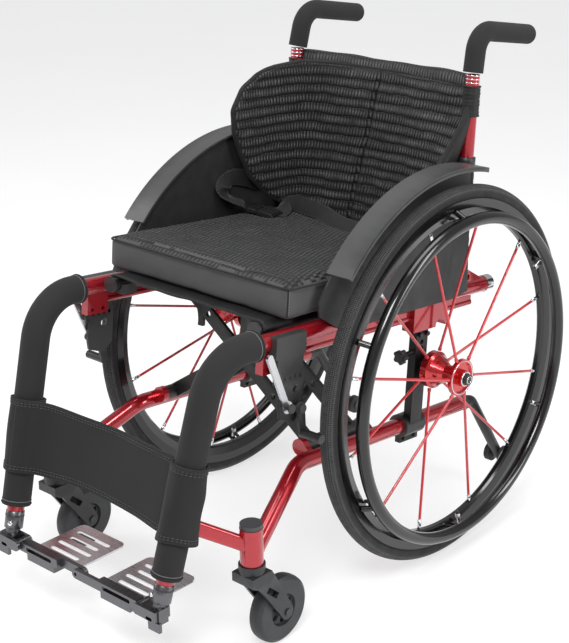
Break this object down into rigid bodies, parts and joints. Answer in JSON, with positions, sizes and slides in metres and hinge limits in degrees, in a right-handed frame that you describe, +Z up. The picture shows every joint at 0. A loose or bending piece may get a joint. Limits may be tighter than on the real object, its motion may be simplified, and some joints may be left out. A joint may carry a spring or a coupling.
{
  "type": "manual wheelchair",
  "caption": "Folding manual wheelchair with cross brace, spoked rear wheels, caster front wheels, side guards, upholstered seat and back, and fold-up footrest.",
  "frame": {"origin": "on the ground, at the middle of the footprint", "axes": "+X to the sitter's left, -Y to the front, +Z up"},
  "size_m": [0.547, 0.857, 0.8097],
  "materials": {
    "side_tube": "gloss metallic red",
    "leg_tube": "gloss metallic red",
    "lower_tube": "gloss metallic red",
    "back_cane": "gloss metallic red",
    "leg_sleeve": "matte neoprene foam",
    "tube_cap": "polished",
    "axle_post": "satin black anodised look",
    "push_grip": "matte foam",
    "guard_panel": "satin black",
    "guard_flange": "satin grey-black",
    "brake_mount": "satin black",
    "rail_saddles": "satin black",
    "foot_bracket": "satin dark",
    "brake_lever": "brushed",
    "brake_shoe": "satin black",
    "antitip_arm": "satin black",
    "antitip_wheel": "matte",
    "tyre": "knurled tread edge",
    "rim": "gloss black",
    "spokes": "gloss red",
    "hub": "anodised red",
    "handrim": "gloss black",
    "caster_fork": "satin dark grey",
    "caster_wheel": "satin dark grey",
    "foot_bar": "dark anodised",
    "foot_plate": "polished dark",
    "cross_arm_a": "satin black",
    "cross_arm_b": "satin black",
    "cross_bolts": "plated",
    "cushion": "nylon sides, ribbed mesh top",
    "seat_sling": "woven nylon",
    "backrest": "puckered mesh",
    "calf_strap": "stitched neoprene",
    "lap_belt": "woven webbing"
  },
  "bodies": {
    "frame_left": {"side_tube_l": "side_tube", "leg_tube_l": "leg_tube", "leg_sleeve_l": "leg_sleeve", "lower_tube_l": "lower_tube", "tube_cap_l": "tube_cap", "axle_post_l": "axle_post", "back_cane_l": "back_cane", "push_grip_l": "push_grip", "guard_panel_l": "guard_panel", "guard_flange_l": "guard_flange", "brake_mount_l": "brake_mount", "rail_saddles_l": "rail_saddles", "foot_bracket_l": "foot_bracket", "seat_sling": "seat_sling", "backrest": "backrest", "calf_strap": "calf_strap", "lap_belt": "lap_belt"},
    "frame_right": {"side_tube_r": "side_tube", "leg_tube_r": "leg_tube", "leg_sleeve_r": "leg_sleeve", "lower_tube_r": "lower_tube", "tube_cap_r": "tube_cap", "axle_post_r": "axle_post", "back_cane_r": "back_cane", "push_grip_r": "push_grip", "guard_panel_r": "guard_panel", "guard_flange_r": "guard_flange", "brake_mount_r": "brake_mount", "rail_saddles_r": "rail_saddles", "foot_bracket_r": "foot_bracket"},
    "cross_a": {"cross_arm_a": "cross_arm_a", "cross_bolts": "cross_bolts"},
    "cross_b": {"cross_arm_b": "cross_arm_b"},
    "cushion_body": {"cushion": "cushion"},
    "brake_lever_l_body": {"brake_lever_l": "brake_lever"},
    "brake_shoe_l_body": {"brake_shoe_l": "brake_shoe"},
    "antitip_l": {"antitip_arm_l": "antitip_arm"},
    "antitip_wheel_l_body": {"antitip_wheel_l": "antitip_wheel"},
    "wheel_l": {"tyre_l": "tyre", "rim_l": "rim", "spokes_l": "spokes", "hub_l": "hub", "handrim_l": "handrim"},
    "caster_l": {"caster_fork_l": "caster_fork"},
    "caster_wheel_l_body": {"caster_wheel_l": "caster_wheel"},
    "footrest_l": {"foot_bar_l": "foot_bar", "foot_plate_l": "foot_plate"},
    "brake_lever_r_body": {"brake_lever_r": "brake_lever"},
    "brake_shoe_r_body": {"brake_shoe_r": "brake_shoe"},
    "antitip_r": {"antitip_arm_r": "antitip_arm"},
    "antitip_wheel_r_body": {"antitip_wheel_r": "antitip_wheel"},
    "wheel_r": {"tyre_r": "tyre", "rim_r": "rim", "spokes_r": "spokes", "hub_r": "hub", "handrim_r": "handrim"},
    "caster_r": {"caster_fork_r": "caster_fork"},
    "caster_wheel_r_body": {"caster_wheel_r": "caster_wheel"},
    "footrest_r": {"foot_bar_r": "foot_bar", "foot_plate_r": "foot_plate"}
  },
  "joints": [
    {"name": "fold", "type": "hinge", "parent": "frame_left", "child": "cross_a", "pos_m": [0.148, -0.04337, 0.23059], "axis": [0, 0.9957, -0.0924], "range_deg": [0, 42], "deforming": ["cushion", "seat_sling", "backrest", "calf_strap", "lap_belt"]},
    {"name": "cross_pivot", "type": "hinge", "parent": "cross_a", "child": "cross_b", "pos_m": [0, -0.03422, 0.32917], "axis": [0, 0.9957, -0.0924], "range_deg": [-84, 0]},
    {"name": "right_frame_pivot", "type": "hinge", "parent": "cross_b", "child": "frame_right", "pos_m": [-0.148, -0.04337, 0.23059], "axis": [0, 0.9957, -0.0924], "range_deg": [0, 42]},
    {"name": "cushion_slide", "type": "slide", "parent": "frame_left", "child": "cushion_body", "axis": [0, -0.9957, 0.0924], "range_m": [0, 0.2]},
    {"name": "wheel_spin_l", "type": "hinge", "parent": "frame_left", "child": "wheel_l", "pos_m": [0.23, 0.1335, 0.295], "axis": [1, 0, 0], "continuous": true},
    {"name": "caster_swivel_l", "type": "hinge", "parent": "frame_left", "child": "caster_l", "pos_m": [0.209, -0.2855, 0.15], "axis": [0, 0, 1], "continuous": true},
    {"name": "caster_spin_l", "type": "hinge", "parent": "caster_l", "child": "caster_wheel_l_body", "pos_m": [0.209, -0.2355, 0.05], "axis": [1, 0, 0], "continuous": true},
    {"name": "brake_lever_l", "type": "hinge", "parent": "frame_left", "child": "brake_lever_l_body", "pos_m": [0.203, -0.2045, 0.345], "axis": [1, 0, 0], "range_deg": [0, 35]},
    {"name": "brake_shoe_l", "type": "hinge", "parent": "frame_left", "child": "brake_shoe_l_body", "pos_m": [0.207, -0.1825, 0.338], "axis": [1, 0, 0], "range_deg": [0, 17.5]},
    {"name": "antitip_swing_l", "type": "hinge", "parent": "frame_left", "child": "antitip_l", "pos_m": [0.168, 0.25415, 0.18994], "axis": [0, 0.9957, -0.0924], "range_deg": [0, 180]},
    {"name": "antitip_spin_l", "type": "hinge", "parent": "antitip_l", "child": "antitip_wheel_l_body", "pos_m": [0.168, 0.3665, 0.058], "axis": [1, 0, 0], "continuous": true},
    {"name": "footrest_fold_l", "type": "hinge", "parent": "frame_left", "child": "footrest_l", "pos_m": [0.13, -0.415, 0.105], "axis": [0, 1, 0], "range_deg": [0, 90]},
    {"name": "wheel_spin_r", "type": "hinge", "parent": "frame_right", "child": "wheel_r", "pos_m": [-0.23, 0.1335, 0.295], "axis": [1, 0, 0], "continuous": true},
    {"name": "caster_swivel_r", "type": "hinge", "parent": "frame_right", "child": "caster_r", "pos_m": [-0.209, -0.2855, 0.15], "axis": [0, 0, 1], "continuous": true},
    {"name": "caster_spin_r", "type": "hinge", "parent": "caster_r", "child": "caster_wheel_r_body", "pos_m": [-0.209, -0.2355, 0.05], "axis": [1, 0, 0], "continuous": true},
    {"name": "brake_lever_r", "type": "hinge", "parent": "frame_right", "child": "brake_lever_r_body", "pos_m": [-0.203, -0.2045, 0.345], "axis": [1, 0, 0], "range_deg": [0, 35]},
    {"name": "brake_shoe_r", "type": "hinge", "parent": "frame_right", "child": "brake_shoe_r_body", "pos_m": [-0.207, -0.1825, 0.338], "axis": [1, 0, 0], "range_deg": [0, 17.5]},
    {"name": "antitip_swing_r", "type": "hinge", "parent": "frame_right", "child": "antitip_r", "pos_m": [-0.168, 0.25415, 0.18994], "axis": [0, -0.9957, 0.0924], "range_deg": [0, 180]},
    {"name": "antitip_spin_r", "type": "hinge", "parent": "antitip_r", "child": "antitip_wheel_r_body", "pos_m": [-0.168, 0.3665, 0.058], "axis": [1, 0, 0], "continuous": true},
    {"name": "footrest_fold_r", "type": "hinge", "parent": "frame_right", "child": "footrest_r", "pos_m": [-0.13, -0.415, 0.105], "axis": [0, 1, 0], "range_deg": [-90, 0]}
  ],
  "couplings": [
    {"joint": "cross_pivot", "follows": "fold", "ratio": -2},
    {"joint": "right_frame_pivot", "follows": "fold", "ratio": 1},
    {"joint": "brake_shoe_l", "follows": "brake_lever_l", "ratio": 0.4861},
    {"joint": "footrest_fold_l", "follows": "fold", "ratio": 2.1426},
    {"joint": "brake_shoe_r", "follows": "brake_lever_r", "ratio": 0.4861},
    {"joint": "footrest_fold_r", "follows": "fold", "ratio": -2.1426}
  ]
}
